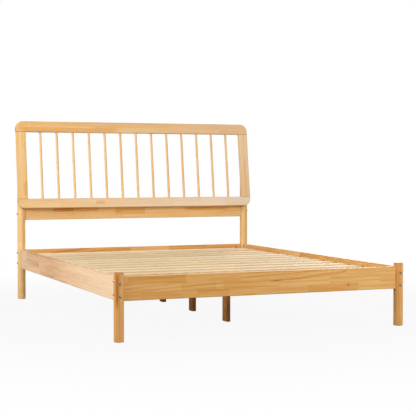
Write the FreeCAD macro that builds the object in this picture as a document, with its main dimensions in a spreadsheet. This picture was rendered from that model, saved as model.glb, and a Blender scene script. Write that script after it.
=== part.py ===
import FreeCAD, Part
import Sketcher
import itertools
import math
import os

# A wooden bed frame of queen size, 1524 by 2032 mm, with a leaning spindle headboard.
# Millimetres. +Z is up, the foot of the bed is towards -Y and the headboard towards +Y.
# The origin lies on the floor, under the middle of the whole frame.

doc = FreeCAD.newDocument("bed_frame")

UP = FreeCAD.Vector(0, 0, 1)
ACROSS = FreeCAD.Vector(1, 0, 0)
ALONG = FreeCAD.Vector(0, 1, 0)
FLATNESS = 1e-6
HALF_TURN = 180
LEFT_AND_RIGHT = {"left": -1, "right": 1}
FOOT_AND_HEAD = {"foot": -1, "head": 1}

# The driving dimensions: one named value for each size that can be set by itself.
SIZES = {
    # round posts
    "post_spacing_width": 1612,
    "post_spacing_length": 2068,
    "post_radius": 26,
    "post_edge_round": 3,
    "foot_post_rise": 21,
    "head_post_overlap": 240,
    "seat_depth": 3,
    "seat_clearance": 0.2,
    # rails of the bed box, and the cross rail under the headboard
    "rail_thickness": 22,
    "rail_height": 121,
    "rail_floor_gap": 204,
    "rail_edge_round": 3,
    "cross_rail_height": 78,
    "cross_rail_gap": 1,
    # dome-headed socket bolts
    "bolt_radius": 3,
    "bolt_length": 100,
    "bolt_head_radius": 7.25,
    "bolt_head_rim": 2.6,
    "bolt_head_crown": 3.4,
    "bolt_socket_radius": 2.9,
    "bolt_socket_depth": 3,
    "bolt_clearance": 0.3,
    "bolt_tip_room": 5,
    "bolt_pair_spacing": 66,
    "bolt_pair_stagger": 13,
    "spot_clearance": 0.5,
    # barrel nuts in the rail ends
    "nut_radius": 5,
    "nut_length": 15,
    "nut_setback": 40,
    "nut_clearance": 0.15,
    "nut_slot_width": 1.4,
    "nut_slot_depth": 1.6,
    # headboard
    "lean_angle": 7.5,
    "board_overhang": 31,
    "board_height": 580,
    "board_thickness": 24,
    "board_floor_gap": 601,
    "board_front_offset": 58,
    "board_top_height": 71,
    "board_bottom_height": 63,
    "stile_width": 66,
    "corner_radius": 48,
    "board_edge_round": 5,
    "joint_chamfer": 0.8,
    "spindle_radius": 8,
    "spindle_count": 13,
    "spindle_end_gap": 100,
    "spindle_tenon": 18,
    "dowel_radius": 4,
    "dowel_length": 40,
    "dowel_spacing": 32,
    "wood_clearance": 0.1,
    # bolts and threaded inserts behind the headboard stiles
    "board_bolt_sink": 3,
    "board_bolt_low_share": 0.38,
    "board_bolt_high_share": 0.78,
    "insert_radius": 5,
    "insert_length": 14,
    # slats and the ledger strips that carry them
    "slat_count": 13,
    "slat_width": 80,
    "slat_thickness": 18,
    "slat_drop": 25,
    "slat_end_gap": 4,
    "slat_edge_round": 2,
    "ledger_width": 25,
    "ledger_height": 30,
    "ledger_post_gap": 14,
    # centre beam, its legs and its hangers
    "beam_width": 45,
    "beam_height": 60,
    "beam_web": 32,
    "leg_thickness": 24,
    "leg_width": 62,
    "leg_place_share": 0.25,
    "leg_bolt_room": 10,
    "sleeve_radius": 4.2,
    "sleeve_end_room": 15,
    "hanger_wall": 2,
    "hanger_clearance": 0.3,
    "hanger_depth": 40,
    "hanger_height": 45,
    "hanger_flange": 22,
    "hanger_screw_low_share": 0.25,
    "hanger_screw_high_share": 0.75,
    "hanger_screw_length": 16,
    "hanger_screw_head_radius": 4,
    "hanger_screw_head_rim": 0.8,
    "hanger_screw_head_crown": 1.4,
    # countersunk wood screws
    "screw_radius": 2,
    "screw_length": 40,
    "screw_head_radius": 4,
    "screw_tip": 4,
    "screw_point_radius": 0.5,
    "screw_recess_span": 4,
    "screw_recess_width": 0.9,
    "screw_recess_depth": 1.4,
    "screw_clearance": 0.15,
    # how far a cutting tool runs past the surface that it cuts
    "cut_overrun": 5,
}

# Places worked out from the driving dimensions. Each formula may use the ones above it.
PLACES = {
    "half_width": "sizes.post_spacing_width / 2",
    "inner_half_width": "half_width - sizes.rail_thickness / 2",
    "head_seat": "sqrt(sizes.post_radius ^ 2 - (sizes.bolt_head_radius + sizes.spot_clearance) ^ 2)",
    "foot_reach": "head_seat + sizes.bolt_head_rim + sizes.bolt_head_crown",
    "head_reach": "(sizes.board_thickness - sizes.board_edge_round) * cos(sizes.lean_angle)"
                  " + (sizes.board_height - sizes.board_edge_round) * sin(sizes.lean_angle)"
                  " + sizes.board_edge_round - sizes.board_front_offset",
    "middle": "(foot_reach - head_reach) / 2",
    "foot_axis": "middle - sizes.post_spacing_length / 2",
    "head_axis": "middle + sizes.post_spacing_length / 2",
    "rail_top": "sizes.rail_floor_gap + sizes.rail_height",
    "foot_post_height": "rail_top + sizes.foot_post_rise",
    "head_post_height": "sizes.board_floor_gap + sizes.head_post_overlap",
    "rail_middle": "sizes.rail_floor_gap + sizes.rail_height / 2",
    "cross_rail_bottom": "sizes.board_floor_gap - sizes.cross_rail_gap - sizes.cross_rail_height",
    "cross_rail_middle": "cross_rail_bottom + sizes.cross_rail_height / 2",
    "end_bolt_middle": "rail_middle + sizes.bolt_pair_stagger / 2",
    "side_bolt_middle": "rail_middle - sizes.bolt_pair_stagger / 2",
    "seat_offset": "sizes.post_radius - sizes.seat_depth",
    "nut_inset": "seat_offset + sizes.nut_setback",
    "slat_top": "rail_top - sizes.slat_drop",
    "slat_bottom": "slat_top - sizes.slat_thickness",
    "slat_length": "2 * (inner_half_width - sizes.slat_end_gap)",
    "ledger_middle_height": "slat_bottom - sizes.ledger_height / 2",
    "ledger_half_length": "sizes.post_spacing_length / 2 - sizes.post_radius - sizes.ledger_post_gap",
    "ledger_across": "inner_half_width - sizes.ledger_width / 2",
    "slat_pitch": "(2 * ledger_half_length - sizes.slat_width) / (sizes.slat_count - 1)",
    "first_slat": "middle - ledger_half_length + sizes.slat_width / 2",
    "beam_bottom": "slat_bottom - sizes.beam_height",
    "beam_half_length": "sizes.post_spacing_length / 2 - sizes.rail_thickness / 2"
                        " - sizes.hanger_wall - sizes.hanger_clearance",
    "leg_tenon": "sizes.beam_height - sizes.beam_web",
    "leg_bolt_height": "beam_bottom + leg_tenon / 2",
    "leg_bolt_length": "sizes.beam_width - sizes.leg_bolt_room",
    "sleeve_length": "sizes.beam_width - sizes.sleeve_end_room",
    "hanger_inside": "sizes.beam_width / 2 + sizes.hanger_clearance",
    "hanger_outside": "hanger_inside + sizes.hanger_wall",
    "hanger_bottom": "beam_bottom - sizes.hanger_wall",
    "board_width": "sizes.post_spacing_width + 2 * sizes.board_overhang",
    "board_opening": "sizes.board_height - sizes.board_top_height - sizes.board_bottom_height",
    "board_top_start": "sizes.board_height - sizes.board_top_height",
    "board_middle_depth": "sizes.board_thickness / 2",
    "stile_across": "board_width / 2 - sizes.stile_width / 2",
    "first_spindle": "sizes.stile_width + sizes.spindle_end_gap - board_width / 2",
    "spindle_pitch": "-2 * first_spindle / (sizes.spindle_count - 1)",
    "post_lap": "sizes.head_post_overlap / cos(sizes.lean_angle)",
    "post_tip_thickness": "(sizes.post_radius + sizes.board_front_offset) * cos(sizes.lean_angle)"
                          " - post_lap * sin(sizes.lean_angle) - sizes.board_thickness",
    "board_bolt_grip": "post_tip_thickness + sizes.board_bolt_sink",
    "board_bolt_seat": "sizes.board_thickness + board_bolt_grip",
    "board_bolt_length": "board_bolt_grip + sizes.insert_length",
}


def fill_sheet(name, cells):
    """Make a sheet with one aliased row for each cell."""
    sheet = doc.addObject("Spreadsheet::Sheet", name)
    for row, (alias, content) in enumerate(cells.items(), start=1):
        sheet.set("A%d" % row, alias)
        sheet.set("B%d" % row, str(content))
        sheet.setAlias("B%d" % row, alias)
    return sheet


sizes = fill_sheet("sizes", SIZES)
places = fill_sheet("places", {name: "=" + formula for name, formula in PLACES.items()})
doc.recompute()


def bind(item, **expressions):
    """Tie properties of an object to expressions; two underscores stand for a dot."""
    for prop, expression in expressions.items():
        item.setExpression(prop.replace("__", "."), expression)


def locate(item, point):
    """Tie the place of an object to three expressions."""
    bind(item, Placement__Base__x=point[0], Placement__Base__y=point[1], Placement__Base__z=point[2])


def turn(item, rotation):
    """Turn an object about its own origin."""
    item.Placement = FreeCAD.Placement(FreeCAD.Vector(), rotation)


def lean(item):
    """Set an object that is drawn upright, in the headboard's own frame, at the headboard's slope.
    In that frame X runs across, Y from the front face to the back and Z up the board."""
    turn(item, FreeCAD.Rotation(ACROSS, -SIZES["lean_angle"]))
    bind(item, Placement__Rotation__Angle="-sizes.lean_angle")
    locate(item, ("0", "places.head_axis - sizes.board_front_offset", "sizes.board_floor_gap"))
    return item


def block(name, size, corner):
    """A plain box from its lowest corner."""
    item = doc.addObject("Part::Box", name)
    bind(item, Length=size[0], Width=size[1], Height=size[2])
    locate(item, corner)
    return item


def rod(name, radius, length, start, direction=UP):
    """A plain cylinder from a point along a direction."""
    item = doc.addObject("Part::Cylinder", name)
    turn(item, FreeCAD.Rotation(UP, direction))
    bind(item, Radius=radius, Height=length)
    locate(item, start)
    return item


def joined(name, items):
    """One solid from several that touch or cross."""
    item = doc.addObject("Part::MultiFuse", name)
    item.Shapes = items
    return item


def cut_from(name, blank, tools):
    """The blank with the tools taken away."""
    item = doc.addObject("Part::Cut", name)
    item.Base = blank
    item.Tool = tools[0] if len(tools) == 1 else joined(name + "_tools", tools)
    return item


def copies(name, master, seats):
    """Copies of a master solid, one at each seat."""
    links = []
    for point, rotation in seats:
        link = doc.addObject("App::Link", name + "_copy")
        link.LinkedObject = master
        link.LinkTransform = True
        turn(link, rotation)
        locate(link, point)
        links.append(link)
    return links


def group(name, items):
    """Several separate solids kept as one sub-part."""
    item = doc.addObject("Part::Compound", name)
    item.Links = items
    return item


def edge_names(shape, wanted):
    """The names of the edges that a test picks out."""
    return ["Edge%d" % number for number, edge in enumerate(shape.Edges, start=1) if wanted(edge)]


def is_straight_along(edge, axis):
    """True for a straight edge parallel to an axis."""
    if not isinstance(edge.Curve, Part.Line):
        return False
    return abs(edge.Curve.Direction.dot(axis)) > 1 - FLATNESS


def is_square_to(edge, axis):
    """True for an edge that lies in a plane square to an axis."""
    heights = [vertex.Point.dot(axis) for vertex in edge.Vertexes]
    heights.append(edge.CenterOfMass.dot(axis))
    return max(heights) - min(heights) < FLATNESS


def round_edges(body, base, wanted, radius):
    """Round the edges of a body's last feature that a test picks out."""
    doc.recompute()
    rounding = body.newObject("PartDesign::Fillet", body.Name + "_round")
    rounding.Base = (base, edge_names(base.Shape, wanted))
    bind(rounding, Radius=radius)
    return rounding


def chamfer_edges(body, base, wanted, size):
    """Chamfer the edges of a body's last feature that a test picks out."""
    doc.recompute()
    bevel = body.newObject("PartDesign::Chamfer", body.Name + "_chamfer")
    bevel.Base = (base, edge_names(base.Shape, wanted))
    bind(bevel, Size=size)
    return bevel


def plank(name, size, centre, grain, radius, end_chamfer=None):
    """A planed board about its centre, with its long edges, along the grain, rounded."""
    body = doc.addObject("PartDesign::Body", name)
    box = body.newObject("PartDesign::AdditiveBox", name + "_box")
    bind(box, Length=size[0], Width=size[1], Height=size[2])
    locate(box, ["-(%s) / 2" % side for side in size])
    rounding = round_edges(body, box, lambda edge: is_straight_along(edge, grain), radius)
    if end_chamfer:
        chamfer_edges(body, rounding, lambda edge: is_square_to(edge, grain), end_chamfer)
    locate(body, centre)
    return body


# Masters of the fasteners. Each stands on its seat: the head is above the seat plane and the
# shank runs down along -Z. A cavity is the hole that its fastener needs, drawn in the same place.

def headed_shank(name, head_radius, rim, crown, shank_radius, length):
    """A domed head on a plain shank."""
    cap = doc.addObject("Part::Sphere", name + "_cap")
    cap_radius = "(%s ^ 2 + %s ^ 2) / (2 * %s)" % (head_radius, crown, crown)
    bind(cap, Radius=cap_radius, Angle1="90 - 2 * atan(%s / %s) / 1 deg" % (crown, head_radius))
    locate(cap, ("0", "0", "%s + %s - %s" % (rim, crown, cap_radius)))
    collar = rod(name + "_collar", head_radius, rim, ("0", "0", "0"))
    shank = rod(name + "_shank", shank_radius, length, ("0", "0", "-(%s)" % length))
    return joined(name + "_blank", [cap, collar, shank])


def socket_bolt(name, length):
    """A dome-headed bolt with a six-sided socket."""
    blank = headed_shank(name, "sizes.bolt_head_radius", "sizes.bolt_head_rim", "sizes.bolt_head_crown",
                         "sizes.bolt_radius", length)
    socket = doc.addObject("Part::Prism", name + "_socket")
    bind(socket, Circumradius="sizes.bolt_socket_radius", Height="sizes.bolt_socket_depth")
    locate(socket, ("0", "0", "sizes.bolt_head_rim + sizes.bolt_head_crown - sizes.bolt_socket_depth"))
    return cut_from(name, blank, [socket])


def bolt_cavity(name, length):
    """The bore of a bolt's shank, and the spot face that lets its head into a round post."""
    depth = "(%s + sizes.bolt_tip_room)" % length
    bore = rod(name + "_bore", "sizes.bolt_radius + sizes.bolt_clearance", depth, ("0", "0", "-%s" % depth))
    spot = rod(name + "_spot", "sizes.bolt_head_radius + sizes.spot_clearance", "sizes.post_radius",
               ("0", "0", "0"))
    return joined(name, [bore, spot])


def cross_recess(name, top):
    """The cross-shaped recess of a screw head."""
    tall = "sizes.screw_recess_depth + sizes.cut_overrun"
    span = "sizes.screw_recess_span"
    width = "sizes.screw_recess_width"
    start = "%s - sizes.screw_recess_depth" % top
    first = block(name + "_first", (span, width, tall), ("-%s / 2" % span, "-%s / 2" % width, start))
    second = block(name + "_second", (width, span, tall), ("-%s / 2" % width, "-%s / 2" % span, start))
    return joined(name, [first, second])


def screw_solid(name, growth, tip_room):
    """A countersunk screw. With growth it is the cavity that holds one."""
    head_radius = "(sizes.screw_head_radius + %s)" % growth
    shank_radius = "(sizes.screw_radius + %s)" % growth
    head = doc.addObject("Part::Cone", name + "_head")
    bind(head, Radius1=shank_radius, Radius2=head_radius, Height="%s - %s" % (head_radius, shank_radius))
    locate(head, ("0", "0", "%s - %s" % (shank_radius, head_radius)))
    straight = "(sizes.screw_length + %s - sizes.screw_tip)" % tip_room
    shank = rod(name + "_shank", shank_radius, straight, ("0", "0", "-%s" % straight))
    tip = doc.addObject("Part::Cone", name + "_tip")
    point_radius = "sizes.screw_point_radius + %s" % growth
    bind(tip, Radius1=point_radius, Radius2=shank_radius, Height="sizes.screw_tip")
    locate(tip, ("0", "0", "-%s - sizes.screw_tip" % straight))
    return joined(name, [head, shank, tip])


def countersunk_screw(name):
    """A wood screw whose flat head lies in the seat plane."""
    blank = screw_solid(name + "_blank", "0", "0")
    return cut_from(name, blank, [cross_recess(name + "_recess", "0")])


def screw_cavity(name):
    """The hole of a wood screw, open above its head."""
    hole = screw_solid(name + "_hole", "sizes.screw_clearance", "sizes.screw_clearance")
    mouth = rod(name + "_mouth", "sizes.screw_head_radius + sizes.screw_clearance", "sizes.cut_overrun",
                ("0", "0", "0"))
    return joined(name, [hole, mouth])


def hanger_screw(name):
    """A short dome-headed screw for sheet metal."""
    blank = headed_shank(name, "sizes.hanger_screw_head_radius", "sizes.hanger_screw_head_rim",
                         "sizes.hanger_screw_head_crown", "sizes.screw_radius", "sizes.hanger_screw_length")
    top = "sizes.hanger_screw_head_rim + sizes.hanger_screw_head_crown"
    return cut_from(name, blank, [cross_recess(name + "_recess", top)])


def barrel_nut(name):
    """A cross-drilled barrel: its axis is Z, the bolt passes along X, and the slot faces +Z."""
    barrel = rod(name + "_barrel", "sizes.nut_radius", "sizes.nut_length",
                 ("0", "0", "-sizes.nut_length / 2"))
    reach = "(sizes.nut_radius + sizes.cut_overrun)"
    thread = rod(name + "_thread", "sizes.bolt_radius + sizes.nut_clearance", "2 * %s" % reach,
                 ("-%s" % reach, "0", "0"), ACROSS)
    slot = block(name + "_slot",
                 ("2 * %s" % reach, "sizes.nut_slot_width", "sizes.nut_slot_depth + sizes.cut_overrun"),
                 ("-%s" % reach, "-sizes.nut_slot_width / 2", "sizes.nut_length / 2 - sizes.nut_slot_depth"))
    return cut_from(name, barrel, [thread, slot])


def threaded_insert(name):
    """A threaded sleeve let into the back of a stile, its mouth at the seat plane."""
    sleeve = rod(name + "_sleeve", "sizes.insert_radius", "sizes.insert_length",
                 ("0", "0", "-sizes.insert_length"))
    thread = rod(name + "_thread", "sizes.bolt_radius + sizes.nut_clearance",
                 "sizes.insert_length + 2 * sizes.cut_overrun",
                 ("0", "0", "-sizes.insert_length - sizes.cut_overrun"))
    return cut_from(name, sleeve, [thread])


def sleeve_nut(name):
    """A dome-headed nut with a long sleeve, which takes a leg's cross bolt from the far side."""
    blank = headed_shank(name, "sizes.bolt_head_radius", "sizes.bolt_head_rim", "sizes.bolt_head_crown",
                         "sizes.sleeve_radius", "places.sleeve_length")
    thread = rod(name + "_thread", "sizes.bolt_radius + sizes.nut_clearance",
                 "places.sleeve_length + sizes.cut_overrun",
                 ("0", "0", "-places.sleeve_length - sizes.cut_overrun"))
    return cut_from(name, blank, [thread])


rail_bolt = socket_bolt("rail_bolt", "sizes.bolt_length")
rail_bolt_cavity = bolt_cavity("rail_bolt_cavity", "sizes.bolt_length")
board_bolt = socket_bolt("board_bolt", "places.board_bolt_length")
board_bolt_cavity = bolt_cavity("board_bolt_cavity", "places.board_bolt_grip")
leg_bolt = socket_bolt("leg_bolt", "places.leg_bolt_length")
leg_sleeve = sleeve_nut("leg_sleeve")
leg_cavity = rod("leg_cavity", "sizes.sleeve_radius + sizes.bolt_clearance",
                 "sizes.beam_width + 2 * sizes.cut_overrun",
                 ("0", "0", "-sizes.beam_width - sizes.cut_overrun"))
nut = barrel_nut("nut")
nut_cavity = rod("nut_cavity", "sizes.nut_radius + sizes.nut_clearance",
                 "sizes.nut_length / 2 + sizes.nut_clearance + sizes.rail_thickness / 2 + sizes.cut_overrun",
                 ("0", "0", "-sizes.nut_length / 2 - sizes.nut_clearance"))
insert = threaded_insert("insert")
insert_cavity = rod("insert_cavity", "sizes.insert_radius + sizes.nut_clearance",
                    "sizes.insert_length + sizes.nut_clearance + sizes.cut_overrun",
                    ("0", "0", "-sizes.insert_length - sizes.nut_clearance"))
wood_screw = countersunk_screw("wood_screw")
wood_screw_cavity = screw_cavity("wood_screw_cavity")
bracket_screw = hanger_screw("bracket_screw")
bracket_screw_cavity = rod("bracket_screw_cavity", "sizes.screw_radius + sizes.screw_clearance",
                           "sizes.hanger_screw_length + sizes.screw_clearance + sizes.cut_overrun",
                           ("0", "0", "-sizes.hanger_screw_length - sizes.screw_clearance"))
dowel = rod("dowel", "sizes.dowel_radius", "sizes.dowel_length", ("0", "0", "-sizes.dowel_length / 2"))
dowel_cavity = rod("dowel_cavity", "sizes.dowel_radius + sizes.wood_clearance",
                   "sizes.dowel_length + 2 * sizes.wood_clearance",
                   ("0", "0", "-sizes.dowel_length / 2 - sizes.wood_clearance"))


# Seats: where each fastener stands and which way its head, or a nut's slot, faces.

def facing(direction):
    return FreeCAD.Rotation(UP, direction)


def nut_turn(slot_side, bolt_line):
    """A barrel nut's turn: slot towards one side, bolt hole along a line."""
    return FreeCAD.Rotation(bolt_line, slot_side.cross(bolt_line), slot_side, "ZXY")


def axis_of(end):
    return "places.%s_axis" % end


def bolt_pair(middle):
    return ["%s - sizes.bolt_pair_spacing / 2" % middle, "%s + sizes.bolt_pair_spacing / 2" % middle]


def end_rail_seats(side, end):
    """The seats of the bolts that hold a foot or head rail to one post."""
    sign = LEFT_AND_RIGHT[side]
    across = "%d * (places.half_width + places.head_seat)" % sign
    return [((across, axis_of(end), height), facing(ACROSS * sign))
            for height in bolt_pair("places.end_bolt_middle")]


def side_rail_seats(side, end):
    """The seats of the bolts that hold a side rail to one post."""
    across = "%d * places.half_width" % LEFT_AND_RIGHT[side]
    sign = FOOT_AND_HEAD[end]
    along = "%s + %d * places.head_seat" % (axis_of(end), sign)
    return [((across, along, height), facing(ALONG * sign))
            for height in bolt_pair("places.side_bolt_middle")]


def cross_rail_seats(side):
    sign = LEFT_AND_RIGHT[side]
    across = "%d * (places.half_width + places.head_seat)" % sign
    return [((across, "places.head_axis", "places.cross_rail_middle"), facing(ACROSS * sign))]


def end_nut_seats(side, end):
    """The barrel nuts in one end of a foot or head rail, let in from inside the bed."""
    sign = LEFT_AND_RIGHT[side]
    across = "%d * (places.half_width - places.nut_inset)" % sign
    inwards = nut_turn(ALONG * -FOOT_AND_HEAD[end], ACROSS)
    return [((across, axis_of(end), height), inwards) for height in bolt_pair("places.end_bolt_middle")]


def side_nut_seats(side, end):
    """The barrel nuts in one end of a side rail, let in from inside the bed."""
    across = "%d * places.half_width" % LEFT_AND_RIGHT[side]
    along = "%s - %d * places.nut_inset" % (axis_of(end), FOOT_AND_HEAD[end])
    inwards = nut_turn(ACROSS * -LEFT_AND_RIGHT[side], ALONG)
    return [((across, along, height), inwards) for height in bolt_pair("places.side_bolt_middle")]


def cross_nut_seats(side):
    """The barrel nut in one end of the cross rail, let in from behind."""
    across = "%d * (places.half_width - places.nut_inset)" % LEFT_AND_RIGHT[side]
    return [((across, "places.head_axis", "places.cross_rail_middle"), nut_turn(ALONG, ACROSS))]


def board_seats(side, depth):
    """Points of a stile, in the headboard's own frame, that are bolted to the post behind it."""
    across = "%d * places.half_width" % LEFT_AND_RIGHT[side]
    shares = ("sizes.board_bolt_low_share", "sizes.board_bolt_high_share")
    return [((across, depth, "places.post_lap * %s" % share), facing(ALONG)) for share in shares]


def dowel_seats(side, height):
    """The two dowels of one stile joint, in the headboard's own frame."""
    sign = LEFT_AND_RIGHT[side]
    return [(("%d * places.stile_across + %d * sizes.dowel_spacing / 2" % (sign, step),
              "places.board_middle_depth", height), facing(UP)) for step in (-1, 1)]


def slat_middle(number):
    return "places.first_slat + %d * places.slat_pitch" % number


def slat_screw_seat(number, across):
    return ((across, slat_middle(number), "places.slat_top"), facing(UP))


def slat_seats(number):
    """The three screws of one slat: one into each ledger and one into the centre beam."""
    return [slat_screw_seat(number, "%d * places.ledger_across" % step) for step in (-1, 0, 1)]


def ledger_screw_seat(side, number):
    """A screw through a ledger into the side rail, midway between two slats."""
    sign = LEFT_AND_RIGHT[side]
    across = "%d * (places.inner_half_width - sizes.ledger_width)" % sign
    along = "places.first_slat + (%d + 1 / 2) * places.slat_pitch" % number
    return ((across, along, "places.ledger_middle_height"), facing(ACROSS * -sign))


def leg_place(step):
    return "places.middle + %d * sizes.leg_place_share * sizes.post_spacing_length" % step


def hanger_back(end):
    """The inner face of a foot or head rail, which a hanger is screwed to."""
    return "%s - %d * sizes.rail_thickness / 2" % (axis_of(end), FOOT_AND_HEAD[end])


def hanger_screw_seats(end):
    sign = FOOT_AND_HEAD[end]
    along = "%s - %d * sizes.hanger_wall" % (hanger_back(end), sign)
    seats = []
    for side in LEFT_AND_RIGHT.values():
        across = "%d * (places.hanger_outside + sizes.hanger_flange / 2)" % side
        for share in ("sizes.hanger_screw_low_share", "sizes.hanger_screw_high_share"):
            height = "places.hanger_bottom + sizes.hanger_height * %s" % share
            seats.append(((across, along, height), facing(ALONG * -sign)))
    return seats


slat_numbers = range(int(sizes.slat_count))
ledger_screw_numbers = range(int(sizes.slat_count) - 1)
leg_steps = {"foot": -1, "middle": 0, "head": 1}
sub_parts = []


def finished(label, item):
    """Name a sub-part and put it on the list of those that are written out."""
    item.Label = label
    sub_parts.append(item)


# Posts: turned rounds with a flat seat let in for each rail.

def seat_notch(name, side, end, inwards, bottom, height):
    """The flat that a rail end stands against. inwards is the side of the post it is on."""
    reach = "2 * (sizes.post_radius + sizes.cut_overrun)"
    depth = "sizes.seat_depth + sizes.cut_overrun"
    size = [reach, reach, "%s + sizes.seat_clearance" % height]
    centre = ["%d * places.half_width" % LEFT_AND_RIGHT[side], axis_of(end)]
    corner = ["%s - sizes.post_radius - sizes.cut_overrun" % place for place in centre]
    along_y = int(abs(inwards.y) > abs(inwards.x))
    size[along_y] = depth
    if inwards[along_y] > 0:
        corner[along_y] = "%s + places.seat_offset" % centre[along_y]
    return block(name, size, corner + [bottom])


def post(side, end, height, extra_tools):
    name = "post_%s_%s" % (end, side)
    blank = doc.addObject("PartDesign::Body", name + "_blank")
    turned = blank.newObject("PartDesign::AdditiveCylinder", name + "_turned")
    bind(turned, Radius="sizes.post_radius", Height=height)
    round_edges(blank, turned, lambda edge: isinstance(edge.Curve, Part.Circle), "sizes.post_edge_round")
    locate(blank, ("%d * places.half_width" % LEFT_AND_RIGHT[side], axis_of(end), "0"))
    tools = copies(name + "_bore", rail_bolt_cavity, end_rail_seats(side, end) + side_rail_seats(side, end))
    for inwards in (ALONG * -FOOT_AND_HEAD[end], ACROSS * -LEFT_AND_RIGHT[side]):
        tools.append(seat_notch(name + "_seat", side, end, inwards, "sizes.rail_floor_gap",
                                "sizes.rail_height"))
    finished(name, cut_from(name, blank, tools + extra_tools))


def headboard_tools(side):
    """What a head post loses to the cross rail and to the headboard that leans on it."""
    name = "post_head_%s" % side
    cross_seat = seat_notch(name + "_cross_seat", side, "head", ACROSS * -LEFT_AND_RIGHT[side],
                            "places.cross_rail_bottom", "sizes.cross_rail_height")
    tools = [cross_seat] + copies(name + "_cross_bore", rail_bolt_cavity, cross_rail_seats(side))
    reach = "(sizes.post_radius + sizes.cut_overrun)"
    slope = block(name + "_slope",
                  ("2 * %s" % reach, "2 * %s + sizes.board_thickness" % reach, "2 * places.post_lap"),
                  ("%d * places.half_width - %s" % (LEFT_AND_RIGHT[side], reach), "-2 * %s" % reach, "0"))
    bores = copies(name + "_board_bore", board_bolt_cavity, board_seats(side, "places.board_bolt_seat"))
    tools.append(lean(joined(name + "_board_tools", [slope] + bores)))
    return tools


for side_name in LEFT_AND_RIGHT:
    post(side_name, "foot", "places.foot_post_height", [])
    post(side_name, "head", "places.head_post_height", headboard_tools(side_name))


# Rails: planed boards between the seats of two posts, bored at both ends for bolts and nuts.

END_RAIL_LENGTH = "sizes.post_spacing_width - 2 * places.seat_offset"
SIDE_RAIL_LENGTH = "sizes.post_spacing_length - 2 * places.seat_offset"


def rail(name, size, centre, grain, tools):
    blank = plank(name + "_blank", size, centre, grain, "sizes.rail_edge_round")
    finished(name, cut_from(name, blank, tools))


def end_rail(end):
    name = "rail_%s" % end
    tools = copies(name + "_screw_hole", bracket_screw_cavity, hanger_screw_seats(end))
    for side in LEFT_AND_RIGHT:
        tools += copies(name + "_bore", rail_bolt_cavity, end_rail_seats(side, end))
        tools += copies(name + "_nut_hole", nut_cavity, end_nut_seats(side, end))
    rail(name, (END_RAIL_LENGTH, "sizes.rail_thickness", "sizes.rail_height"),
         ("0", axis_of(end), "places.rail_middle"), ACROSS, tools)


def side_rail(side):
    name = "rail_%s" % side
    seats = [ledger_screw_seat(side, number) for number in ledger_screw_numbers]
    tools = copies(name + "_screw_hole", wood_screw_cavity, seats)
    for end in FOOT_AND_HEAD:
        tools += copies(name + "_bore", rail_bolt_cavity, side_rail_seats(side, end))
        tools += copies(name + "_nut_hole", nut_cavity, side_nut_seats(side, end))
    across = "%d * places.half_width" % LEFT_AND_RIGHT[side]
    rail(name, ("sizes.rail_thickness", SIDE_RAIL_LENGTH, "sizes.rail_height"),
         (across, "places.middle", "places.rail_middle"), ALONG, tools)


def cross_rail():
    tools = []
    for side in LEFT_AND_RIGHT:
        tools += copies("cross_rail_bore", rail_bolt_cavity, cross_rail_seats(side))
        tools += copies("cross_rail_nut_hole", nut_cavity, cross_nut_seats(side))
    rail("cross_rail", (END_RAIL_LENGTH, "sizes.rail_thickness", "sizes.cross_rail_height"),
         ("0", "places.head_axis", "places.cross_rail_middle"), ACROSS, tools)


for end_name in FOOT_AND_HEAD:
    end_rail(end_name)
for side_name in LEFT_AND_RIGHT:
    side_rail(side_name)
cross_rail()


# Headboard: drawn upright in its own frame, then set at its lean.

JOINT_HEIGHTS = {"bottom": "sizes.board_bottom_height", "top": "places.board_top_start"}
spindle_numbers = range(1, int(sizes.spindle_count) + 1)


def plane_of(body, role):
    """One of the origin planes of a body."""
    return next(plane for plane in body.Origin.OriginFeatures if plane.Role == role)


def tie(sketch, name, expression, constraint):
    """Add a named dimension to a sketch and tie it to an expression."""
    number = sketch.addConstraint(constraint)
    sketch.renameConstraint(number, name)
    sketch.setExpression("Constraints." + name, expression)


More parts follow.
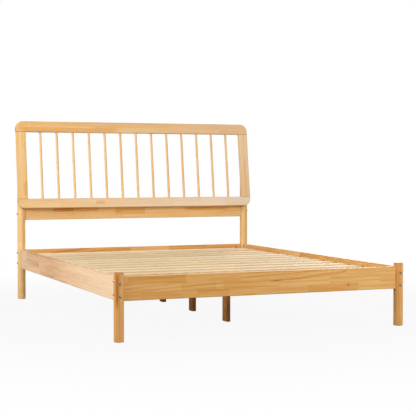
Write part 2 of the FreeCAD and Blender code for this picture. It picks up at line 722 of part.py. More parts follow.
def rail_outline(body, name, height_name):
    """The front outline of a headboard rail: the joint edge on the X axis, round corners above it."""
    sketch = body.newObject("Sketcher::SketchObject", name)
    sketch.AttachmentSupport = (plane_of(body, "XZ_Plane"), [""])
    sketch.MapMode = "FlatFace"
    half = places.board_width / 2
    tall = SIZES[height_name]
    corner = SIZES["corner_radius"]
    level = tall - corner
    point = FreeCAD.Vector
    right_circle = Part.Circle(point(half - corner, level, 0), UP, corner)
    left_circle = Part.Circle(point(corner - half, level, 0), UP, corner)
    quarter = math.pi / 2
    joint, right_end, right_corner, top, left_corner, left_end = sketch.addGeometry([
        Part.LineSegment(point(-half, 0, 0), point(half, 0, 0)),
        Part.LineSegment(point(half, 0, 0), point(half, level, 0)),
        Part.ArcOfCircle(right_circle, 0, quarter),
        Part.LineSegment(point(half - corner, tall, 0), point(corner - half, tall, 0)),
        Part.ArcOfCircle(left_circle, quarter, 2 * quarter),
        Part.LineSegment(point(-half, level, 0), point(-half, 0, 0)),
    ])
    start_point, end_point = 1, 2
    horizontal_axis, vertical_axis = -1, -2
    sketch.addConstraint([
        Sketcher.Constraint("Coincident", joint, end_point, right_end, start_point),
        Sketcher.Constraint("Tangent", right_end, end_point, right_corner, start_point),
        Sketcher.Constraint("Tangent", right_corner, end_point, top, start_point),
        Sketcher.Constraint("Tangent", top, end_point, left_corner, start_point),
        Sketcher.Constraint("Tangent", left_corner, end_point, left_end, start_point),
        Sketcher.Constraint("Coincident", left_end, end_point, joint, start_point),
        Sketcher.Constraint("Vertical", right_end),
        Sketcher.Constraint("Horizontal", top),
        Sketcher.Constraint("Vertical", left_end),
        Sketcher.Constraint("Equal", right_corner, left_corner),
        Sketcher.Constraint("Symmetric", joint, start_point, joint, end_point, vertical_axis),
        Sketcher.Constraint("PointOnObject", joint, start_point, horizontal_axis),
    ])
    tie(sketch, "width", "places.board_width",
        Sketcher.Constraint("DistanceX", joint, start_point, joint, end_point, 2 * half))
    tie(sketch, "height", "sizes." + height_name,
        Sketcher.Constraint("DistanceY", joint, end_point, top, start_point, tall))
    tie(sketch, "corner", "sizes.corner_radius", Sketcher.Constraint("Radius", right_corner, corner))
    return sketch


def spindle_across(number):
    return "places.first_spindle + %d * places.spindle_pitch" % (number - 1)


def board_rail(which, roll, bore_start):
    """The top or the bottom rail of the headboard, with bores for the spindles and dowels.
    The blank's round corners point up, and roll turns them down on the bottom rail."""
    name = "headboard_%s_rail" % which
    blank = doc.addObject("PartDesign::Body", name + "_blank")
    pad = blank.newObject("PartDesign::Pad", name + "_pad")
    pad.Profile = rail_outline(blank, name + "_outline", "board_%s_height" % which)
    pad.Reversed = True
    bind(pad, Length="sizes.board_thickness")

    def is_free_outline(edge):
        return is_square_to(edge, ALONG) and edge.BoundBox.ZMax > FLATNESS

    def is_joint_outline(edge):
        return edge.BoundBox.ZMax < FLATNESS

    rounding = round_edges(blank, pad, is_free_outline, "sizes.board_edge_round")
    chamfer_edges(blank, rounding, is_joint_outline, "sizes.joint_chamfer")
    turn(blank, FreeCAD.Rotation(ALONG, roll))
    locate(blank, ("0", "0", JOINT_HEIGHTS[which]))
    tools = []
    for number in spindle_numbers:
        tools.append(rod("%s_spindle_bore" % name, "sizes.spindle_radius + sizes.wood_clearance",
                         "sizes.spindle_tenon + sizes.wood_clearance + sizes.cut_overrun",
                         (spindle_across(number), "places.board_middle_depth", bore_start)))
    for side in LEFT_AND_RIGHT:
        tools += copies(name + "_dowel_hole", dowel_cavity, dowel_seats(side, JOINT_HEIGHTS[which]))
    finished(name, lean(cut_from(name, blank, tools)))


def stile(side):
    """An upright of the headboard, bored for dowels at its ends and for two threaded inserts."""
    name = "headboard_stile_%s" % side
    centre = ("%d * places.stile_across" % LEFT_AND_RIGHT[side], "places.board_middle_depth",
              "sizes.board_bottom_height + places.board_opening / 2")
    blank = plank(name + "_blank", ("sizes.stile_width", "sizes.board_thickness", "places.board_opening"),
                  centre, UP, "sizes.board_edge_round", "sizes.joint_chamfer")
    tools = copies(name + "_insert_hole", insert_cavity, board_seats(side, "sizes.board_thickness"))
    for height in JOINT_HEIGHTS.values():
        tools += copies(name + "_dowel_hole", dowel_cavity, dowel_seats(side, height))
    finished(name, lean(cut_from(name, blank, tools)))


def spindle(number):
    """A round bar let into both headboard rails."""
    name = "spindle_%02d" % number
    body = doc.addObject("PartDesign::Body", name)
    bar = body.newObject("PartDesign::AdditiveCylinder", name + "_bar")
    bind(bar, Radius="sizes.spindle_radius", Height="places.board_opening + 2 * sizes.spindle_tenon")
    locate(bar, (spindle_across(number), "places.board_middle_depth",
                 "sizes.board_bottom_height - sizes.spindle_tenon"))
    chamfer_edges(body, bar, lambda edge: isinstance(edge.Curve, Part.Circle), "sizes.joint_chamfer")
    finished(name, lean(body))


board_rail("top", 0, "places.board_top_start - sizes.cut_overrun")
board_rail("bottom", HALF_TURN, "sizes.board_bottom_height - sizes.spindle_tenon - sizes.wood_clearance")
for side_name in LEFT_AND_RIGHT:
    stile(side_name)
for spindle_number in spindle_numbers:
    spindle(spindle_number)


# Slats, and what carries them: a ledger along each side rail and a beam on three legs.

def slat(number):
    name = "slat_%02d" % (number + 1)
    centre = ("0", slat_middle(number), "places.slat_top - sizes.slat_thickness / 2")
    blank = plank(name + "_blank", ("places.slat_length", "sizes.slat_width", "sizes.slat_thickness"),
                  centre, ACROSS, "sizes.slat_edge_round")
    holes = copies(name + "_screw_hole", wood_screw_cavity, slat_seats(number))
    finished(name, cut_from(name, blank, holes))


def ledger(side):
    name = "ledger_%s" % side
    across = "%d * places.ledger_across" % LEFT_AND_RIGHT[side]
    size = ("sizes.ledger_width", "2 * places.ledger_half_length", "sizes.ledger_height")
    blank = plank(name + "_blank", size, (across, "places.middle", "places.ledger_middle_height"), ALONG,
                  "sizes.slat_edge_round")
    seats = [slat_screw_seat(number, across) for number in slat_numbers]
    seats += [ledger_screw_seat(side, number) for number in ledger_screw_numbers]
    finished(name, cut_from(name, blank, copies(name + "_screw_hole", wood_screw_cavity, seats)))


def leg_seats(direction):
    """The seats of the legs' cross bolts or sleeve nuts on one side of the beam."""
    across = "%d * sizes.beam_width / 2" % direction
    return [((across, leg_place(step), "places.leg_bolt_height"), facing(ACROSS * direction))
            for step in leg_steps.values()]


def leg(which):
    """A plank leg whose top stands in a slot of the beam."""
    name = "centre_leg_%s" % which
    height = "(places.beam_bottom + places.leg_tenon)"
    blank = plank(name + "_blank", ("sizes.leg_thickness", "sizes.leg_width", height),
                  ("0", leg_place(leg_steps[which]), "%s / 2" % height), UP, "sizes.rail_edge_round")
    finished(name, cut_from(name, blank, copies(name + "_bolt_hole", leg_cavity, leg_seats(1))))


def beam():
    centre = ("0", "places.middle", "places.beam_bottom + sizes.beam_height / 2")
    size = ("sizes.beam_width", "2 * places.beam_half_length", "sizes.beam_height")
    blank = plank("centre_beam_blank", size, centre, ALONG, "sizes.rail_edge_round")
    tools = copies("centre_beam_screw_hole", wood_screw_cavity,
                   [slat_screw_seat(number, "0") for number in slat_numbers])
    tools += copies("centre_beam_bolt_hole", leg_cavity, leg_seats(1))
    slot_width = "(sizes.leg_thickness + 2 * sizes.wood_clearance)"
    slot_length = "(sizes.leg_width + 2 * sizes.wood_clearance)"
    for step in leg_steps.values():
        tools.append(block("centre_beam_slot",
                           (slot_width, slot_length, "places.leg_tenon + sizes.cut_overrun"),
                           ("-%s / 2" % slot_width, "%s - %s / 2" % (leg_place(step), slot_length),
                            "places.beam_bottom - sizes.cut_overrun")))
    finished("centre_beam", cut_from("centre_beam", blank, tools))


def inward_block(name, end, width, near, far, bottom, height):
    """A box centred on the bed's middle line, between two distances in from an end rail's face."""
    corner = "%s + %s" % (hanger_back(end), near)
    if end == "head":
        corner = "%s - (%s)" % (hanger_back(end), far)
    return block(name, (width, "%s - (%s)" % (far, near), height), ("-(%s) / 2" % width, corner, bottom))


def hanger(end):
    """A folded steel cup that holds one end of the beam against the foot or head rail."""
    name = "beam_hanger_%s" % end
    plate = inward_block(name + "_plate", end, "2 * (places.hanger_outside + sizes.hanger_flange)",
                         "0", "sizes.hanger_wall", "places.hanger_bottom", "sizes.hanger_height")
    cup = inward_block(name + "_cup", end, "2 * places.hanger_outside",
                       "0", "sizes.hanger_depth", "places.hanger_bottom", "sizes.hanger_height")
    hollow = inward_block(name + "_hollow", end, "2 * places.hanger_inside",
                          "sizes.hanger_wall", "sizes.hanger_depth + sizes.cut_overrun",
                          "places.beam_bottom", "sizes.hanger_height")
    holes = copies(name + "_screw_hole", bracket_screw_cavity, hanger_screw_seats(end))
    finished(name, cut_from(name, joined(name + "_blank", [plate, cup]), [hollow] + holes))


for slat_number in slat_numbers:
    slat(slat_number)
for side_name in LEFT_AND_RIGHT:
    ledger(side_name)
beam()
for leg_name in leg_steps:
    leg(leg_name)
for end_name in FOOT_AND_HEAD:
    hanger(end_name)


# Fasteners: each kind is one group of separate solids.

def all_seats(kind, *lists):
    """The seats of one kind of fastener at every combination of the given names."""
    seats = []
    for names in itertools.product(*lists):
        seats += kind(*names)
    return seats


rail_bolt_seats = all_seats(end_rail_seats, LEFT_AND_RIGHT, FOOT_AND_HEAD)
rail_bolt_seats += all_seats(side_rail_seats, LEFT_AND_RIGHT, FOOT_AND_HEAD)
rail_bolt_seats += all_seats(cross_rail_seats, LEFT_AND_RIGHT)
nut_seats = all_seats(end_nut_seats, LEFT_AND_RIGHT, FOOT_AND_HEAD)
nut_seats += all_seats(side_nut_seats, LEFT_AND_RIGHT, FOOT_AND_HEAD)
nut_seats += all_seats(cross_nut_seats, LEFT_AND_RIGHT)
board_bolt_seats = all_seats(board_seats, LEFT_AND_RIGHT, ["places.board_bolt_seat"])
insert_seats = all_seats(board_seats, LEFT_AND_RIGHT, ["sizes.board_thickness"])
all_dowel_seats = all_seats(dowel_seats, LEFT_AND_RIGHT, JOINT_HEIGHTS.values())
ledger_screw_seats = [ledger_screw_seat(side_name, number)
                      for side_name in LEFT_AND_RIGHT for number in ledger_screw_numbers]
hanger_seats = all_seats(hanger_screw_seats, FOOT_AND_HEAD)

finished("rail_bolts", group("rail_bolts", copies("rail_bolts", rail_bolt, rail_bolt_seats)))
finished("barrel_nuts", group("barrel_nuts", copies("barrel_nuts", nut, nut_seats)))
finished("headboard_bolts",
         lean(group("headboard_bolts", copies("headboard_bolts", board_bolt, board_bolt_seats))))
finished("headboard_inserts",
         lean(group("headboard_inserts", copies("headboard_inserts", insert, insert_seats))))
finished("headboard_dowels",
         lean(group("headboard_dowels", copies("headboard_dowels", dowel, all_dowel_seats))))
finished("leg_bolts", group("leg_bolts", copies("leg_bolts", leg_bolt, leg_seats(-1))))
finished("leg_sleeve_nuts", group("leg_sleeve_nuts", copies("leg_sleeve_nuts", leg_sleeve, leg_seats(1))))
finished("slat_screws",
         group("slat_screws", copies("slat_screws", wood_screw, all_seats(slat_seats, slat_numbers))))
finished("ledger_screws", group("ledger_screws", copies("ledger_screws", wood_screw, ledger_screw_seats)))
finished("hanger_screws", group("hanger_screws", copies("hanger_screws", bracket_screw, hanger_seats)))

doc.recompute()

for item in doc.Objects:
    if "Invalid" in item.State or "Error" in item.State:
        raise RuntimeError("%s could not be built" % item.Name)
for item in sub_parts:
    if item.Shape.isNull() or not item.Shape.isValid():
        raise RuntimeError("%s has no sound shape" % item.Label)

os.makedirs("parts", exist_ok=True)
for item in sub_parts:
    item.Shape.exportStep("parts/%s.step" % item.Label)
print("%d sub-parts, %d solids" % (len(sub_parts), sum(len(item.Shape.Solids) for item in sub_parts)))
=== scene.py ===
# %% [markdown]
# # A wooden bed frame with a leaning spindle headboard
#
# The real object is a knock-down bed: four round posts, plank rails that are bolted to them, a slatted base
# on a centre beam, and a headboard of round spindles that leans back. The solids already have those shapes,
# so the lesson is about their finish: honey-coloured wood glued up from short staves under a satin lacquer,
# bare pine for the base, and plated steel for the fasteners. The frame is loaded first and is never moved.

# %% Load the frame
import math
import typing

import bmesh
import bpy
from mathutils import Color, Matrix, Vector


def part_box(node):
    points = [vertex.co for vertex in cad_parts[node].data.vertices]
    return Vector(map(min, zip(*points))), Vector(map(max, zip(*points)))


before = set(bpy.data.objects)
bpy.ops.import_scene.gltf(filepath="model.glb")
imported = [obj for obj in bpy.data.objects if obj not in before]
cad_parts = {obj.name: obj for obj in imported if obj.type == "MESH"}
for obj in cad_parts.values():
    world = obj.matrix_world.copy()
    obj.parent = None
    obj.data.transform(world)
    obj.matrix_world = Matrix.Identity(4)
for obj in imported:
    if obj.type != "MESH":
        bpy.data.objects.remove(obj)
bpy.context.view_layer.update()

# %% [markdown]
# ## Shader sums that read like sums
#
# A wood shader is mostly arithmetic on places: which stave a point lies in, how far it is from the heart of
# the tree. It could be wired node by node, but a formula is easier to read and to change. So a Wire stands
# for one socket, and a sum or a product of wires adds the Math nodes for it.

# %% The wire
class Wire:
    """One socket of a shader. Sums on wires add Math nodes."""

    def __init__(self, bench, socket):
        self.bench = bench
        self.socket = socket

    def math(self, operation, *others):
        """A Math node that takes this wire first."""
        return self.bench.math(operation, self, *others)

    def __add__(self, other):
        return self.bench.math("ADD", self, other)

    def __radd__(self, other):
        return self.bench.math("ADD", other, self)

    def __sub__(self, other):
        return self.bench.math("SUBTRACT", self, other)

    def __rsub__(self, other):
        return self.bench.math("SUBTRACT", other, self)

    def __mul__(self, other):
        return self.bench.math("MULTIPLY", self, other)

    def __rmul__(self, other):
        return self.bench.math("MULTIPLY", other, self)

    def __truediv__(self, other):
        return self.bench.math("DIVIDE", self, other)

    def __rtruediv__(self, other):
        return self.bench.math("DIVIDE", other, self)


print("a wire can be added, subtracted, multiplied and divided")

# %% [markdown]
# ## One way to add any node
#
# Textures, ramps and mixes can't be written as sums. Each could have a helper of its own, but they are all
# made alike: a node of some type, then its settings, then what goes into its sockets. So a Bench holds one
# shader tree, and its add method makes any node and gives back its outputs as wires.

# %% The bench
class Bench:
    """A shader tree, and the one method that puts nodes into it."""

    def __init__(self, tree):
        self.tree = tree

    def add(self, kind, settings=None, inputs=None):
        """Add a node of a kind, set it, fill its sockets, and give back its outputs."""
        node = self.tree.nodes.new(kind)
        for name, value in (settings or {}).items():
            if name == "stops":
                self.set_stops(node.color_ramp, value)
            else:
                setattr(node, name, value)
        for name, value in (inputs or {}).items():
            self.plug(node.inputs[name], value)
        return [Wire(self, outlet) for outlet in node.outputs]

    def set_stops(self, ramp, stops):
        """Give a colour ramp its stops. A new one starts at the top and is moved at once."""
        while len(ramp.elements) < len(stops):
            ramp.elements.new(1.0)
        for element, (place, colour) in zip(ramp.elements, stops):
            element.position = place
            element.color = (*colour, 1.0)

    def plug(self, socket, value):
        """Link a wire to a socket, or set the socket's own value."""
        if isinstance(value, Wire):
            self.tree.links.new(value.socket, socket)
        else:
            socket.default_value = value

    def math(self, operation, *operands):
        """A Math node on wires and numbers."""
        return self.add("ShaderNodeMath", {"operation": operation}, dict(enumerate(operands)))[0]


print("the bench can add any node")

# %% [markdown]
# ## What is known about a piece of wood
#
# Wood is a solid material, so its pattern is worked out in three dimensions and shows matching lines on the
# faces and on the end grain. It could be painted on an unwrapped skin, but then no line would run round a
# corner. A Plank says how the wood of one piece lies: which way its grain and its wide face run, how many
# staves are glued side by side, and how deep in tone they are.

# %% The settings of a plank
class Plank(typing.NamedTuple):
    """How the wood of one piece was chosen and glued up. Lengths are in metres."""
    node: str
    grain: int                   # the axis that the fibres follow
    face: int                    # the axis across the wide face
    seed: int                    # a whole number of its own, for the random draws
    tone: float                  # its place on the colour ramp, from 0, pale, to 1, deep
    spread: float                # how far its blocks differ in tone
    block_length: float          # from one finger joint of a stave to the next
    rows: float = 1              # staves side by side across the face; under 1, a row is wider than the piece
    lean: float = 0.0            # the turn about X that stands the piece upright
    # the share of pale colour: real sapwood on some pieces, painted sheen on others
    sapwood_and_sheen: tuple = (0.0, 0.0)  # the share of pale sapwood at its low end and at its high end
    marks: tuple = ()            # knots, streaks and blocks that stand out
    # edges: whether its edges are darker and its shoulders carry painted shade
    edges: bool = True           # whether its edges and shoulders are darker
    figure: float = 1.0          # how strongly its rings show


print("a plank has", len(Plank._fields), "settings")

# %% [markdown]
# ## Finding the grain of each piece
#
# A shader needs three directions in each piece: along the grain, across its wide face and through its
# thickness. The headboard leans, so its pieces are read in a frame that is turned upright first. The lean
# could be typed in, but it is measured on a spindle, so that it stays true if the frame changes.

# %% Directions and the lean of the headboard
X, Y, Z = 0, 1, 2
ALONG, ACROSS, THROUGH = 0, 1, 2
OBJECT_OUTPUT = 3
TURN_SIZE = 3
spindle_low, spindle_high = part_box("spindle_07")
spindle_extent = spindle_high - spindle_low
board_lean = math.atan2(spindle_extent.y - spindle_extent.x, spindle_extent.z)


class Piece(typing.NamedTuple):
    """Where a point lies along, across and through a piece, and the piece's two corners the same way."""
    along: Wire
    across: Wire
    through: Wire
    low: list
    high: list


def turned_box(node, lean):
    """The lowest and highest corner of a node, read in a frame that is turned upright by its lean."""
    turn = Matrix.Rotation(lean, TURN_SIZE, "X")
    points = [turn @ vertex.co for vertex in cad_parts[node].data.vertices]
    low = Vector(min(point[axis] for point in points) for axis in (X, Y, Z))
    high = Vector(max(point[axis] for point in points) for axis in (X, Y, Z))
    return low, high


def axis_order(plank):
    """The axes along the grain, across the face and through the thickness."""
    return (plank.grain, plank.face, X + Y + Z - plank.grain - plank.face)


def turned_axes(bench, plank, output):
    """A place or a direction along the grain, across the face and through the thickness of a piece."""
    source = bench.add("ShaderNodeTexCoord")[output]
    upright = bench.add("ShaderNodeMapping", {}, {"Vector": source, "Rotation": (plank.lean, 0, 0)})[0]
    axes = bench.add("ShaderNodeSeparateXYZ", {}, {"Vector": upright})
    return [axes[axis] for axis in axis_order(plank)]


def read_piece(bench, plank):
    """The place of a point in a piece."""
    low, high = turned_box(plank.node, plank.lean)
    order = axis_order(plank)
    return Piece(*turned_axes(bench, plank, OBJECT_OUTPUT), [low[axis] for axis in order],
                 [high[axis] for axis in order])


print("the headboard leans by %.2f degrees" % math.degrees(board_lean))

# %% [markdown]
# ## Staves and finger joints
#
# Rails of this kind are glued up from narrow staves, and each stave from short blocks with finger joints at
# their ends. That is why the tone of the rails changes in steps. The steps could be drawn by hand, but there
# are hundreds of them, so they are worked out: rows of staves fill the face of each piece, a random draw
# shifts the joints of each row, and a second draw gives each block its own tone and its own place in the
# tree.

# %% Rows, blocks and their joints
HALF = 0.5    # of a row or a block, and the middle of a random draw or a noise
FINGER_PITCH = 0.0058
FINGER_LENGTH = 0.009
ROW_SHIFT = 5.7
GLUE_LINE = 0.0005
NOISE_COLOUR = 1
MILLIMETRES = 1000


class Block(typing.NamedTuple):
    """How far a point lies along its block, the block's random draws, and whether it is on a glue line."""
    along: Wire
    draws: list
    glue: Wire


def draw(bench, x, y, z):
    """Three random numbers between 0 and 1 that depend only on three whole numbers."""
    key = bench.add("ShaderNodeCombineXYZ", {}, {"X": x, "Y": y, "Z": z})[0]
    noise = bench.add("ShaderNodeTexWhiteNoise", {"noise_dimensions": "3D"}, {"Vector": key})
    return bench.add("ShaderNodeSeparateColor", {}, {"Color": noise[NOISE_COLOUR]})


def soft_step(bench, value, low, high):
    """0 below low, 1 above high, and an S-shaped change between them."""
    settings = {"interpolation_type": "SMOOTHSTEP"}
    return bench.add("ShaderNodeMapRange", settings, {"Value": value, "From Min": low, "From Max": high})[0]


def find_block(bench, plank, piece):
    """The block of wood that a point belongs to."""
    row_width = (piece.high[ACROSS] - piece.low[ACROSS]) / plank.rows
    row_place = (piece.across - piece.low[ACROSS]) / row_width
    row = row_place.math("FLOOR")
    shift = draw(bench, row, plank.seed, 0.0)[0] * ROW_SHIFT
    half_pitch = FINGER_PITCH * HALF
    finger = piece.across.math("PINGPONG", half_pitch) * (FINGER_LENGTH / half_pitch)
    block_place = (piece.along + finger) / plank.block_length + shift
    block = block_place.math("FLOOR")
    draws = draw(bench, block, row, plank.seed)
    inside = (block_place - block) * plank.block_length
    row_gap = row_place.math("PINGPONG", HALF) * row_width
    end_gap = block_place.math("PINGPONG", HALF) * plank.block_length
    glue = 1 - soft_step(bench, row_gap.math("MINIMUM", end_gap), 0.0, GLUE_LINE)
    return Block(inside, draws, glue)


print("finger joints are %.0f mm long" % (MILLIMETRES * FINGER_LENGTH))

# %% [markdown]
# ## Growth rings
#
# A tree's rings are nearly cylinders, so a ring is a distance from the heart. Each block was sawn at its own
# place and a little askew to the heart, which gives straight stripes in one block and arched flames in the
# next. The rings could come from a Wave texture, but the distance shows the right end grain as well. A slow
# noise makes the rings wander, and a fine noise, stretched along the grain, makes the fibres.

# %% Rings and fibres
HEART_SPREAD = 0.22
HEART_DEPTH = 0.035
HEART_SKEW = 0.16
RING_WIDTH = 0.0060
RING_WANDER = 0.010
RING_RISE = (0.15, 0.85)
RING_FALL = (0.88, 1.0)
BLOCK_LEAP = 3.0


class Noise(typing.NamedTuple):
    """The recipe of a noise with its own scales along and across the grain."""
    along_scale: float
    across_scale: float
    detail: float
    roughness: float


WANDER_NOISE = Noise(along_scale=2.2, across_scale=14.0, detail=2.0, roughness=0.5)
FIBRE_NOISE = Noise(along_scale=3.0, across_scale=120.0, detail=5.0, roughness=0.65)
CLOUD_NOISE = Noise(along_scale=1.6, across_scale=12.0, detail=1.0, roughness=0.5)


class Grain(typing.NamedTuple):
    """How deep in a ring, a fibre and a slow cloud a point lies, each from 0 to 1."""
    ring: Wire
    fibre: Wire
    cloud: Wire


def stretched_noise(bench, place, recipe):
    """Noise from 0 to 1 at a place, as its recipe says."""
    scales = (recipe.along_scale, recipe.across_scale, recipe.across_scale)
    scaled = [axis * scale for axis, scale in zip(place, scales)]
    vector = bench.add("ShaderNodeCombineXYZ", {}, dict(enumerate(scaled)))[0]
    inputs = {"Vector": vector, "Scale": 1.0, "Detail": recipe.detail, "Roughness": recipe.roughness}
    return bench.add("ShaderNodeTexNoise", {"noise_dimensions": "3D"}, inputs)[0]


def find_grain(bench, piece, block):
    """How the rings, the fibres and the slow changes of tone run at a point."""
    side_draw, depth_draw, skew_draw = block.draws
    place = (piece.along + side_draw * BLOCK_LEAP, piece.across + depth_draw, piece.through + skew_draw)
    wander = stretched_noise(bench, place, WANDER_NOISE) - HALF
    skew = (skew_draw - HALF) * HEART_SKEW
    sideways = piece.across - (side_draw - HALF) * HEART_SPREAD - skew * block.along
    deep = piece.through - depth_draw * HEART_DEPTH - HEART_DEPTH
    radius = (sideways * sideways + deep * deep).math("SQRT") + wander * RING_WANDER
    phase = (radius / RING_WIDTH).math("FRACT")
    ring = soft_step(bench, phase, *RING_RISE) - soft_step(bench, phase, *RING_FALL)
    fibre = stretched_noise(bench, place, FIBRE_NOISE)
    cloud = stretched_noise(bench, place, CLOUD_NOISE)
    return Grain(ring, fibre, cloud)


print("rings are %.1f mm wide" % (MILLIMETRES * RING_WIDTH))

# %% [markdown]
# ## Knots, streaks, odd blocks and painted shade
#
# Some marks on the real bed should not be left to chance, and some painted shade is laid the same way. They
# could be painted on an image, but a distance stays sharp at any size and needs no file. So each mark is an
# ellipse or a rectangle in the plank's own directions, and it deepens the tone inside it, fully at its core
# and less towards its rim.

# %% How a mark deepens the tone
class Mark(typing.NamedTuple):
    """A place where the wood is deeper in tone, or where painted shade lies. Lengths are in metres."""
    along: float             # from the middle of the piece
    across: float            # from the lower edge of its face
    half_length: float
    half_width: float
    tone: float              # how much deeper it is
    core: float              # the share of its reach that has its full tone
    slope: float = 0.0       # how much it climbs on its way along
    is_block: bool = False   # whether it is a rectangle, and not an ellipse


def find_marks(bench, plank, piece):
    """How much the marks of one piece, painted shade among them, deepen its tone at a point."""
    middle = (piece.low[ALONG] + piece.high[ALONG]) * HALF
    total = 0.0
    for mark in plank.marks:
        distance = piece.along - (middle + mark.along)
        ahead = distance / mark.half_length
        climb = piece.low[ACROSS] + mark.across + distance * mark.slope
        aside = (piece.across - climb) / mark.half_width
        if mark.is_block:
            reach = ahead.math("ABSOLUTE").math("MAXIMUM", aside.math("ABSOLUTE"))
        else:
            reach = (ahead * ahead + aside * aside).math("SQRT")
        total = total + (1 - soft_step(bench, reach, mark.core, 1.0)) * mark.tone
    return total


print("a mark has", len(Mark._fields), "settings")

# %% [markdown]
# ## The marks of this bed
#
# On the real bed a dark streak and a knot show in the foot rail, and a dark stripe in the left foot post. A
# few blocks stand out from their neighbours in the cross rail and the headboard. Painted shade deepens the
# left rail towards its middle and head end, and a band of painted shadow lies along the top of the cross
# rail's right half, under the headboard. Another seed might give marks like these by luck, but placing them
# is surer.

# %% Place the marks
STREAK_SLOPE = 0.042


def odd_block(along, across, half_length, half_width, tone, core=0.95):
    """A block, or a part of one, that is deeper in tone than its neighbours."""
    return Mark(along, across, half_length, half_width, tone, core, is_block=True)


streak = Mark(along=0.150, across=0.0750, half_length=0.155, half_width=0.0050, tone=0.34, core=0.1,
              slope=STREAK_SLOPE)
streak_start = Mark(along=0.060, across=0.0715, half_length=0.060, half_width=0.0070, tone=0.28, core=0.1,
                    slope=STREAK_SLOPE)
knot = Mark(along=0.4865, across=0.0334, half_length=0.014, half_width=0.020, tone=0.20, core=0.1)
knot_heart = knot._replace(half_length=0.005, half_width=0.008, tone=0.06, core=0.2)
fleck = Mark(along=0.212, across=0.0284, half_length=0.007, half_width=0.004, tone=0.22, core=0.3, slope=0.9)
foot_marks = (
    streak, streak_start, knot, knot_heart, fleck,
    odd_block(along=-0.383, across=0.0605, half_length=0.097, half_width=0.020, tone=0.08, core=0.97),
    odd_block(along=-0.300, across=0.0200, half_length=0.090, half_width=0.020, tone=0.08, core=0.97),
)
cross_marks_and_painted_shadow = (
    odd_block(along=-0.519, across=0.064, half_length=0.074, half_width=0.013, tone=0.30),
    odd_block(along=-0.360, across=0.064, half_length=0.083, half_width=0.013, tone=0.17),
    # painted shadow: the headboard's shadow along the top of the right half of the cross rail
    odd_block(along=0.520, across=0.060, half_length=0.200, half_width=0.014, tone=0.29, core=0.6),
    odd_block(along=-0.050, across=0.050, half_length=0.110, half_width=0.020, tone=0.20),
)
left_painted_shade = (
    # painted shade: the left rail deeper in its middle and towards its head end, paler towards the foot
    odd_block(along=0.25, across=0.060, half_length=1.0, half_width=1.0, tone=0.20, core=0.0),
)
post_marks = (
    odd_block(along=0.095, across=0.011, half_length=0.115, half_width=0.009, tone=0.28, core=0.4),
)
top_marks = (
    odd_block(along=-0.470, across=0.0165, half_length=0.360, half_width=0.016, tone=0.14, core=0.8),
)
bottom_marks = (
    odd_block(along=-0.276, across=0.0348, half_length=0.032, half_width=0.0135, tone=0.15, core=0.9),
)
stile_marks = (
    odd_block(along=-0.157, across=0.051, half_length=0.064, half_width=0.013, tone=0.16, core=0.4),
)
print("the foot rail has", len(foot_marks), "marks and the cross rail", len(cross_marks_and_painted_shadow))

# %% [markdown]
# ## The colours of the wood
#
# The wood of the bed runs from pale straw to amber. It could be one colour that is made lighter and darker,
# but deep wood is also redder, so its colours are a ramp. The sapwood, under the same lacquer, has a paler
# and pinker ramp, and that ramp also paints the pale sheen of a white room on some pieces. The colours are
# written as a screen shows them and turned into the linear values that a shader needs.

# %% The colour ramps
CHANNEL_TOP = 255


def linear(red, green, blue):
    """A colour read off a screen, from 0 to 255, as the shader's own linear values."""
    shown = Color([channel / CHANNEL_TOP for channel in (red, green, blue)])
    return tuple(shown.from_srgb_to_scene_linear())


LACQUERED = [(0.0, linear(246, 215, 158)), (0.35, linear(239, 192, 124)),
             (0.65, linear(222, 157, 78)), (1.0, linear(176, 104, 44))]
SAPWOOD_AND_SHEEN = [(0.0, linear(247, 229, 203)), (0.4, linear(240, 213, 180)),
           (0.7, linear(228, 191, 151)), (1.0, linear(194, 146, 102))]
print("the ramp of the lacquered wood has", len(LACQUERED), "stops")

# %% [markdown]
# ## From tone to colour
#
# A block's draw sets where on the ramp it sits, and the rings, fibres and slow clouds move a point along the
# same ramp. They could be mixed as colours of their own, but on one ramp no tone appears that the wood does
# not have. Some pieces turn to paler sapwood along their length, and on some the pale colour is painted
# sheen instead.

# %% Tone and colour
RING_MEAN = 0.4
RING_FAINT = 0.06
RING_STRONG = 0.18
CLOUD_TONE = 0.40
FIBRE_TONE = 0.62
MIX_FACTOR, MIX_FIRST, MIX_SECOND, MIX_RESULT = 0, 6, 7, 2


def find_tone(plank, block, grain, marks):
    """Where on the colour ramp a point lies."""
    tone_draw, _, ring_draw = block.draws
    ring_tone = (RING_FAINT + ring_draw * ring_draw * RING_STRONG) * plank.figure
    tone = plank.tone + (tone_draw - HALF) * plank.spread + (grain.ring - RING_MEAN) * ring_tone
    return tone + (grain.cloud - HALF) * CLOUD_TONE + (grain.fibre - HALF) * FIBRE_TONE + marks


def find_colour(bench, plank, piece, tone, ramp, marks):
    """The colour of a tone, between heartwood and sapwood or painted sheen. A mark has less of the pale
    colour in it.
    """
    heartwood = bench.add("ShaderNodeValToRGB", {"stops": ramp}, {"Fac": tone})[0]
    if not any(plank.sapwood_and_sheen):
        return heartwood
    pale = bench.add("ShaderNodeValToRGB", {"stops": SAPWOOD_AND_SHEEN}, {"Fac": tone})[0]
    low_share, high_share = plank.sapwood_and_sheen
    inputs = {"Value": piece.along, "From Min": piece.low[ALONG], "From Max": piece.high[ALONG],
              "To Min": low_share, "To Max": high_share}
    share = bench.add("ShaderNodeMapRange", {}, inputs)[0] - marks
    settings = {"data_type": "RGBA", "clamp_factor": True}
    inputs = {MIX_FACTOR: share, MIX_FIRST: heartwood, MIX_SECOND: pale}
    return bench.add("ShaderNodeMix", settings, inputs)[MIX_RESULT]


print("fibres move the tone by up to %.2f" % (FIBRE_TONE * HALF))

